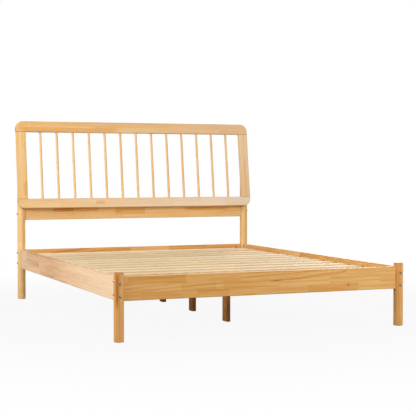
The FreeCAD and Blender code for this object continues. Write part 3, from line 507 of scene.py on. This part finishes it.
# %% [markdown]
# ## Where the wood is darker, and where shade is painted
#
# End grain and glue lines drink more lacquer and are darker. The rounded edges are darker too, and at its
# shoulders, where a piece ends against the next one, a thin band of painted shade is laid. An edge could be
# found with the Pointiness of the mesh or with a Bevel node, but those need a fine mesh or many rays. The
# distance from the sides of the piece costs nothing and is the same in every view.

# %% End grain, glue lines, painted shade at shoulders, and edges
NORMAL_OUTPUT = 1
END_FACE = (0.6, 0.95)
END_GRAIN_DARKENING = 0.15
GLUE_DARKENING = 0.08
SHOULDER_SHADE_WIDTH = 0.0035
SHOULDER_SHADE_STRENGTH = 0.6
EDGE_BAND = 0.006
EDGE_DARKENING = 0.30
DARK_SHADE = linear(150, 95, 50)


def nearer_side(value, low, high):
    """How far a point is from the nearer of two sides."""
    return (value - low).math("MINIMUM", high - value)


def find_darkening(bench, plank, piece, block):
    """How much darker a point is on end grain, at a glue line, in painted shade at a shoulder or on a rounded
    edge.
    """
    end_face = turned_axes(bench, plank, NORMAL_OUTPUT)[ALONG].math("ABSOLUTE")
    amount = soft_step(bench, end_face, *END_FACE) * END_GRAIN_DARKENING + block.glue * GLUE_DARKENING
    if not plank.edges:
        return amount
    end_gap = nearer_side(piece.along, piece.low[ALONG], piece.high[ALONG])
    side_gap = nearer_side(piece.across, piece.low[ACROSS], piece.high[ACROSS])
    depth_gap = nearer_side(piece.through, piece.low[THROUGH], piece.high[THROUGH])
    # painted shade: a dark band where the end of a piece meets the next one
    painted_shoulder_shade = 1 - soft_step(bench, end_gap, 0.0, SHOULDER_SHADE_WIDTH)
    edge = 1 - soft_step(bench, side_gap.math("MAXIMUM", depth_gap), 0.0, EDGE_BAND)
    return amount + painted_shoulder_shade * SHOULDER_SHADE_STRENGTH + edge * EDGE_DARKENING


def darken(bench, colour, amount):
    """The colour with a share of it multiplied by the dark shade."""
    settings = {"data_type": "RGBA", "blend_type": "MULTIPLY"}
    inputs = {MIX_FACTOR: amount, MIX_FIRST: colour, MIX_SECOND: (*DARK_SHADE, 1.0)}
    return bench.add("ShaderNodeMix", settings, inputs)[MIX_RESULT]


print("rounded edges are darker over %.0f mm" % (MILLIMETRES * EDGE_BAND))

# %% [markdown]
# ## The wood shader
#
# The pieces above come together here. The satin lacquer is the shader's own gloss, a little uneven along the
# fibres, with a trace of a clear coat. It could be a separate glossy layer that is mixed in, but one
# Principled shader keeps its energy right. A shallow bump gives the fibres and glue lines a feel in raking
# light.

# %% Wood for one piece
FIBRE_GLOSS = 0.16
RING_GLOSS = 0.05
COAT_ROUGHNESS = 0.22
FIBRE_RELIEF = 0.7
RING_RELIEF = 0.3
GLUE_RELIEF = 0.6
RELIEF = {"Strength": 0.12, "Distance": 0.0006}


class Finish(typing.NamedTuple):
    """What was done to the wood: its colour ramp and how its surface takes the light."""
    ramp: list
    roughness: float
    coat: float
    shine: float


def wood(name, plank, finish):
    """A wood material whose grain follows one piece."""
    material = bpy.data.materials.new(name)
    material.use_nodes = True
    bench = Bench(material.node_tree)
    piece = read_piece(bench, plank)
    block = find_block(bench, plank, piece)
    grain = find_grain(bench, piece, block)
    marks = find_marks(bench, plank, piece)
    tone = find_tone(plank, block, grain, marks)
    colour = find_colour(bench, plank, piece, tone, finish.ramp, marks)
    colour = darken(bench, colour, find_darkening(bench, plank, piece, block))
    height = grain.fibre * FIBRE_RELIEF + grain.ring * RING_RELIEF - block.glue * GLUE_RELIEF
    bump = bench.add("ShaderNodeBump", {}, {**RELIEF, "Height": height})[0]
    gloss = finish.roughness + (grain.fibre - HALF) * FIBRE_GLOSS + grain.ring * RING_GLOSS
    shader = material.node_tree.nodes["Principled BSDF"]
    values = {"Base Color": colour, "Roughness": gloss, "Specular IOR Level": finish.shine,
              "Coat Weight": finish.coat, "Coat Roughness": COAT_ROUGHNESS, "Normal": bump}
    for socket, value in values.items():
        bench.plug(shader.inputs[socket], value)
    return material


print("the clear coat has a roughness of", COAT_ROUGHNESS)

# %% [markdown]
# ## The rails and posts
#
# The rails of the bed box are three staves high and the cross rail two. The rails at the foot and at the head
# are the deepest in tone, and the left rail is the palest: its pale colour is painted sheen, as if it
# mirrored a white wall. The posts are turned from blanks of two staves with long blocks, so their joints are
# rare. One material could serve them all, but each piece has a plank of its own, so that its joints and tone
# are its own too.

# %% Finish the rails and posts
LACQUER = Finish(LACQUERED, roughness=0.50, coat=0.02, shine=0.15)


def dress(material, nodes):
    """Give a material to CAD nodes."""
    for node in nodes:
        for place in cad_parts[node].material_slots:
            place.material = material


body_planks = [
    Plank("rail_foot", grain=X, face=Z, seed=1, tone=0.53, spread=0.11, block_length=0.31, rows=3,
          marks=foot_marks),
    Plank("rail_head", grain=X, face=Z, seed=2, tone=0.55, spread=0.14, block_length=0.28, rows=3),
    Plank("cross_rail", grain=X, face=Z, seed=3, tone=0.36, spread=0.10, block_length=0.34, rows=2,
          sapwood_and_sheen=(0.12, 0.0), marks=cross_marks_and_painted_shadow),
    # painted sheen: the left rail is all pale colour, as if it mirrored a white wall
    Plank("rail_left", grain=Y, face=Z, seed=4, tone=0.62, spread=0.10, block_length=0.32, rows=3,
          # its marks are painted shade that deepens it towards its middle and head end
          sapwood_and_sheen=(1.0, 1.0), marks=left_painted_shade, figure=0.35),
    Plank("rail_right", grain=Y, face=Z, seed=5, tone=0.48, spread=0.12, block_length=0.32, rows=3),
    Plank("post_foot_left", grain=Z, face=X, seed=6, tone=0.65, spread=0.12, block_length=0.50, rows=2,
          sapwood_and_sheen=(0.15, 0.15), marks=post_marks),
    Plank("post_foot_right", grain=Z, face=X, seed=7, tone=0.58, spread=0.12, block_length=0.50, rows=2,
          sapwood_and_sheen=(0.1, 0.1)),
    Plank("post_head_left", grain=Z, face=X, seed=8, tone=0.36, spread=0.12, block_length=0.55, rows=2,
          sapwood_and_sheen=(0.1, 0.1)),
    Plank("post_head_right", grain=Z, face=X, seed=9, tone=0.30, spread=0.12, block_length=0.55, rows=2),
]
for plank in body_planks:
    dress(wood(plank.node + "_wood", plank, LACQUER), [plank.node])
print("finished", len(body_planks), "rails and posts")

# %% [markdown]
# ## The headboard
#
# The headboard is paler, and towards the right its rails and stile are paler still with painted reflection.
# Its rails are two staves high, and its stiles are glued up from narrow staves with upright grain. They could
# share the planks of the bed box, but those stand upright, and these lean: with the lean in the plank, the
# staves stay in line with the board.

# %% Finish the rails and stiles of the headboard
board_planks = [
    # painted reflection: the top rail turns paler towards the right, as if it mirrored a white mattress
    Plank("headboard_top_rail", grain=X, face=Z, seed=11, tone=0.40, spread=0.10, block_length=0.46, rows=2,
          lean=board_lean, sapwood_and_sheen=(0.05, 0.45), marks=top_marks),
    # painted reflection: the bottom rail turns paler and pinker towards the right, as if it mirrored a white
    # mattress
    Plank("headboard_bottom_rail", grain=X, face=Z, seed=12, tone=0.32, spread=0.10, block_length=0.40,
          rows=2, lean=board_lean, sapwood_and_sheen=(0.15, 1.2), marks=bottom_marks),
    Plank("headboard_stile_left", grain=Z, face=X, seed=13, tone=0.35, spread=0.28, block_length=0.60,
          rows=4, lean=board_lean, sapwood_and_sheen=(0.05, 0.05), marks=stile_marks),
    # painted reflection: half of the right stile's colour is the pale ramp, as if it mirrored a white
    # mattress
    Plank("headboard_stile_right", grain=Z, face=X, seed=14, tone=0.38, spread=0.14, block_length=0.60,
          rows=3, lean=board_lean, sapwood_and_sheen=(0.5, 0.5)),
]
for plank in board_planks:
    dress(wood(plank.node + "_wood", plank, LACQUER), [plank.node])
print("finished", len(board_planks), "rails and stiles of the headboard")

# %% [markdown]
# ## The spindles
#
# Each spindle is a single stick, turned from one piece of wood. Thirteen spindles could have thirteen
# materials, but they share one: a row as wide as their spacing gives every stick a draw of its own.

# %% Finish the spindles
def own_row(nodes, axis):
    """The number of rows that gives each of some evenly spaced pieces a row of its own."""
    low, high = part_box(nodes[0])
    places = sorted(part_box(node)[0][axis] for node in nodes)
    return (high[axis] - low[axis]) / (places[1] - places[0])


spindles = sorted(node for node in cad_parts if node.startswith("spindle_"))
spindle_plank = Plank(spindles[0], grain=Z, face=X, seed=15, tone=0.42, spread=0.12, block_length=3.0,
                      rows=own_row(spindles, X), lean=board_lean, sapwood_and_sheen=(0.3, 0.3), edges=False)
dress(wood("spindle_wood", spindle_plank, LACQUER), spindles)
print("finished", len(spindles), "spindles")

# %% [markdown]
# ## The base
#
# The slats, ledgers and beam are plain planed pine, because nobody sees them in use. They could have the
# lacquer of the rails, but a maker would not spend it here. The legs of the beam show below the rails, so
# they have a darker amber that is stain and painted shade of the bed above them, and the two further ones
# are deeper still with painted shade alone.

# %% Finish the slats, the beam and its legs
PINE = [(0.0, linear(247, 231, 200)), (0.4, linear(240, 215, 175)),
        (0.7, linear(226, 192, 146)), (1.0, linear(192, 146, 98))]
# the darker amber of the legs, partly stain and partly painted shade
STAINED_AND_SHADED = [(0.0, linear(196, 138, 78)), (0.5, linear(166, 108, 54)), (1.0, linear(124, 74, 34))]
PLANED = Finish(PINE, roughness=0.70, coat=0.0, shine=0.2)
LEG_STAIN_AND_SHADE = Finish(STAINED_AND_SHADED, roughness=0.70, coat=0.0, shine=0.2)
slats = sorted(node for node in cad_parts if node.startswith("slat_") and node != "slat_screws")
base_planks = [
    (Plank(slats[0], grain=X, face=Y, seed=21, tone=0.42, spread=0.35, block_length=4.0,
           rows=own_row(slats, Y), edges=False), PLANED, slats),
    (Plank("centre_beam", grain=Y, face=X, seed=22, tone=0.45, spread=0.30, block_length=3.0),
     PLANED, ["centre_beam"]),
    (Plank("ledger_left", grain=Y, face=Z, seed=23, tone=0.45, spread=0.30, block_length=3.0, edges=False),
     PLANED, ["ledger_left", "ledger_right"]),
    (Plank("headboard_dowels", grain=Z, face=X, seed=24, tone=0.40, spread=0.20, block_length=3.0, rows=8,
           lean=board_lean, edges=False), PLANED, ["headboard_dowels"]),
    (Plank("centre_leg_foot", grain=Z, face=Y, seed=25, tone=0.26, spread=0.10, block_length=3.0,
           edges=False), LEG_STAIN_AND_SHADE, ["centre_leg_foot"]),
    # painted shade: the middle and head legs are deeper in tone, as if in the shade of the bed above them
    (Plank("centre_leg_middle", grain=Z, face=Y, seed=26, tone=0.85, spread=0.10, block_length=3.0,
           edges=False), LEG_STAIN_AND_SHADE, ["centre_leg_middle"]),
    (Plank("centre_leg_head", grain=Z, face=Y, seed=27, tone=0.90, spread=0.10, block_length=3.0,
           edges=False), LEG_STAIN_AND_SHADE, ["centre_leg_head"]),
]
for plank, finish, nodes in base_planks:
    dress(wood(plank.node + "_wood", plank, finish), nodes)
print("finished", len(slats), "slats and", len(base_planks) - 1, "other kinds of piece in the base")

# %% [markdown]
# ## Plated steel
#
# The bolts, nuts and screws are zinc plated. They could have one grey, but plating is never a perfect
# mirror: the tone and the gloss drift in small clouds. The hangers are galvanised sheet, duller and with a
# larger spangle.

# %% The steel finishes
CLOUD_STOPS = (0.3, 0.7)
CLOUD_DETAIL = {"Detail": 4.0, "Roughness": 0.6}


def steel(name, dark, bright, cloud_scale, roughness, spread):
    """A plated metal whose tone and gloss drift in clouds."""
    material = bpy.data.materials.new(name)
    material.use_nodes = True
    bench = Bench(material.node_tree)
    place = bench.add("ShaderNodeTexCoord")[OBJECT_OUTPUT]
    inputs = {"Vector": place, "Scale": cloud_scale, **CLOUD_DETAIL}
    cloud = bench.add("ShaderNodeTexNoise", {"noise_dimensions": "3D"}, inputs)[0]
    stops = list(zip(CLOUD_STOPS, (dark, bright)))
    colour = bench.add("ShaderNodeValToRGB", {"stops": stops}, {"Fac": cloud})[0]
    shader = material.node_tree.nodes["Principled BSDF"]
    bench.plug(shader.inputs["Base Color"], colour)
    bench.plug(shader.inputs["Metallic"], 1.0)
    bench.plug(shader.inputs["Roughness"], roughness + (cloud - HALF) * spread)
    return material


zinc_plate = steel("zinc_plate", dark=linear(112, 110, 107), bright=linear(158, 156, 153),
                   cloud_scale=260.0, roughness=0.24, spread=0.16)
galvanised_sheet = steel("galvanised_sheet", dark=linear(140, 143, 146), bright=linear(182, 185, 188),
                         cloud_scale=90.0, roughness=0.45, spread=0.25)
plated_nodes = ["rail_bolts", "barrel_nuts", "headboard_bolts", "headboard_inserts", "leg_bolts",
                "leg_sleeve_nuts", "slat_screws", "ledger_screws", "hanger_screws"]
dress(zinc_plate, plated_nodes)
dress(galvanised_sheet, ["beam_hanger_foot", "beam_hanger_head"])
print("finished", len(plated_nodes), "kinds of fastener and the hangers")

# %% [markdown]
# ## Floor
#
# The bed stands on seamless white paper. More light could make any floor white, but it would bleach the wood
# too. So the floor is one plain pale plane that the camera sees mostly as its own white, more so further from
# the bed, and the rest of it is plain paper that keeps the shadow under the bed. The lacquer and the steel
# mirror the same white, but the wood is not lit by it: the white is only there for rays that come from the
# camera, from a gloss or through glass.

# %% Make the floor
FLOOR_REACH = 40.0
FLOOR_PAPER = 0.36
FLOOR_WHITE_NEAR = 0.92
FLOOR_FADE = (1.2, 3.2)
WHITE = (1.0, 1.0, 1.0, 1.0)
CAMERA_RAY, GLOSSY_RAY, TRANSMISSION_RAY = 0, 3, 6
LENGTH_OUTPUT = 1


def sees_white(bench):
    """1 for a ray that should meet the white background, and 0 for one that gathers light."""
    rays = bench.add("ShaderNodeLightPath")
    return rays[CAMERA_RAY].math("MAXIMUM", rays[GLOSSY_RAY]).math("MAXIMUM", rays[TRANSMISSION_RAY])


def floor_paper():
    """White paper that keeps a shadow."""
    material = bpy.data.materials.new("floor_paper")
    material.use_nodes = True
    bench = Bench(material.node_tree)
    place = bench.add("ShaderNodeTexCoord")[OBJECT_OUTPUT]
    distance = bench.add("ShaderNodeVectorMath", {"operation": "LENGTH"}, {0: place})[LENGTH_OUTPUT]
    far = soft_step(bench, distance, *FLOOR_FADE)
    whiteness = sees_white(bench) * (FLOOR_WHITE_NEAR + far * (1 - FLOOR_WHITE_NEAR))
    paper = bench.add("ShaderNodeBsdfDiffuse", {}, {"Color": (FLOOR_PAPER, FLOOR_PAPER, FLOOR_PAPER, 1.0)})[0]
    white = bench.add("ShaderNodeEmission", {}, {"Color": WHITE, "Strength": 1.0})[0]
    mixed = bench.add("ShaderNodeMixShader", {}, dict(enumerate((whiteness, paper, white))))[0]
    bench.plug(material.node_tree.nodes["Material Output"].inputs["Surface"], mixed)
    return material


floor_shape = bmesh.new()
bmesh.ops.create_grid(floor_shape, x_segments=1, y_segments=1, size=FLOOR_REACH)
floor_mesh = bpy.data.meshes.new("floor")
floor_shape.to_mesh(floor_mesh)
floor_shape.free()
floor_mesh.materials.append(floor_paper())
floor = bpy.data.objects.new("floor", floor_mesh)
bpy.context.scene.collection.objects.link(floor)
print("the floor reaches %.0f m" % FLOOR_REACH)

# %% [markdown]
# ## The room around the bed
#
# Behind the bed the white paper goes on upwards. It could be a bent backdrop, but the world itself is white
# for the camera and costs no shadows. A gloss that faces the front of the bed meets the dimmer room behind
# the camera instead, which keeps the foot rail deep in colour and gives the bolt heads a dark half and a
# bright half. As a light on the wood the world is only a faint glow.

# %% Make the world
GENERATED_OUTPUT = 0
AMBIENT = 0.08
ROOM_DIMNESS = 0.80
ROOM_EDGES = (-0.5, 0.1)
world = bpy.data.worlds.new("studio")
world.use_nodes = True
bpy.context.scene.world = world
sky = Bench(world.node_tree)
direction = sky.add("ShaderNodeTexCoord")[GENERATED_OUTPUT]
depth = sky.add("ShaderNodeSeparateXYZ", {}, {"Vector": direction})[Y]
room = 1 - soft_step(sky, depth, *ROOM_EDGES)
glossy = sky.add("ShaderNodeLightPath")[GLOSSY_RAY]
whiteness = sees_white(sky) * (1 - AMBIENT) - glossy * room * ROOM_DIMNESS
background = world.node_tree.nodes["Background"]
sky.plug(background.inputs["Color"], WHITE)
sky.plug(background.inputs["Strength"], AMBIENT + whiteness)
print("the world glows at", AMBIENT)

# %% [markdown]
# ## Lights
#
# A wide soft light on the left brightens the left side rail and the left edges of the posts. A second one in
# front, on the right, lights the foot rail, and a third, behind on the right, lights the back and the right
# side, which the photograph does not show. Sun lamps would be simpler, but their shadows have hard edges.
# Together the soft boxes light the wood at a plain level, at which a colour looks about as it was written.

# %% The soft boxes
class Lamp(typing.NamedTuple):
    """A soft box. Lengths are in metres."""
    name: str
    place: tuple
    target: tuple
    size: tuple
    watts: float


def softbox(lamp):
    """Hang a soft box and turn it to its target."""
    light = bpy.data.lights.new(lamp.name, "AREA")
    light.shape = "RECTANGLE"
    light.size, light.size_y = lamp.size
    light.energy = lamp.watts
    holder = bpy.data.objects.new(lamp.name, light)
    holder.location = lamp.place
    aim = Vector(lamp.target) - Vector(lamp.place)
    holder.rotation_euler = aim.to_track_quat("-Z", "Y").to_euler()
    bpy.context.scene.collection.objects.link(holder)


lamps = [
    Lamp("light_left", place=(-4.2, -0.8, 2.6), target=(0.0, -0.2, 0.3), size=(3.4, 2.6), watts=205.0),
    Lamp("light_front", place=(2.3, -5.2, 3.0), target=(0.0, -0.6, 0.3), size=(3.0, 2.6), watts=230.0),
    Lamp("light_back", place=(4.6, 4.4, 2.8), target=(0.2, 0.2, 0.3), size=(3.0, 2.6), watts=300.0),
]
for lamp in lamps:
    softbox(lamp)
print("lit by the world and", len(lamps), "soft boxes")

# %% [markdown]
# ## Camera
#
# The photograph was taken from the left of the foot, about as high as the middle of the headboard, with a
# long lens. A camera could be aimed by eye, but this one was fitted to the edges of the posts, rails and
# headboard. It looks down by about two degrees.

# %% The photograph's camera
CAMERA_PLACE = (-2.5705, -6.4484, 0.8601)
CAMERA_LENS = 99.26
CAMERA_SENSOR = 36.0
CAMERA_DROP = 1.954
CAMERA_SWING = -22.529
LEVEL = 90
camera_data = bpy.data.cameras.new("photo_camera")
camera_data.lens = CAMERA_LENS
camera_data.sensor_width = CAMERA_SENSOR
camera = bpy.data.objects.new("photo_camera", camera_data)
camera.location = CAMERA_PLACE
camera.rotation_euler = (math.radians(LEVEL - CAMERA_DROP), 0.0, math.radians(CAMERA_SWING))
bpy.context.scene.collection.objects.link(camera)
bpy.context.scene.camera = camera
bpy.context.scene.view_settings.view_transform = "Standard"
print("camera at", tuple(camera.location))
